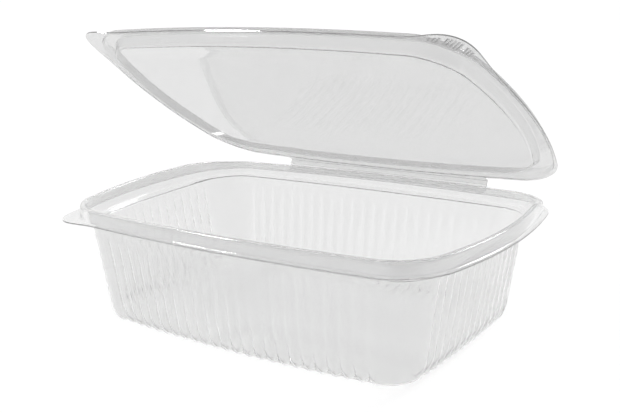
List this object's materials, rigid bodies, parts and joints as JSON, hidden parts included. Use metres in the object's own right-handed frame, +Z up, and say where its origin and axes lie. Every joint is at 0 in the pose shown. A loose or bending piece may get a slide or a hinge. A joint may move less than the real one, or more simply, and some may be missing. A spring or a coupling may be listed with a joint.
{
  "type": "empty hinged-lid clear food container",
  "caption": "Clear rectangular takeaway tub with ribbed walls, a beaded rim and a one-piece lid that swings on a living hinge along the back.",
  "frame": {"origin": "centre of the flat underside of the tub", "axes": "+Z up out of the tub, X along the hinge and the long side, +Y towards the hinge"},
  "size_m": [0.1916, 0.1219, 0.1222],
  "materials": {
    "clear_plastic": "clear glossy thermoformed sheet"
  },
  "bodies": {
    "tub": {"tub": "clear_plastic"},
    "lid": {"lid": "clear_plastic"}
  },
  "joints": [
    {"name": "lid_hinge", "type": "hinge", "parent": "tub", "child": "lid", "pos_m": [0, 0.0657, 0.0451], "axis": [-1, 0, 0], "range_deg": [-37.6, 142.4]}
  ]
}
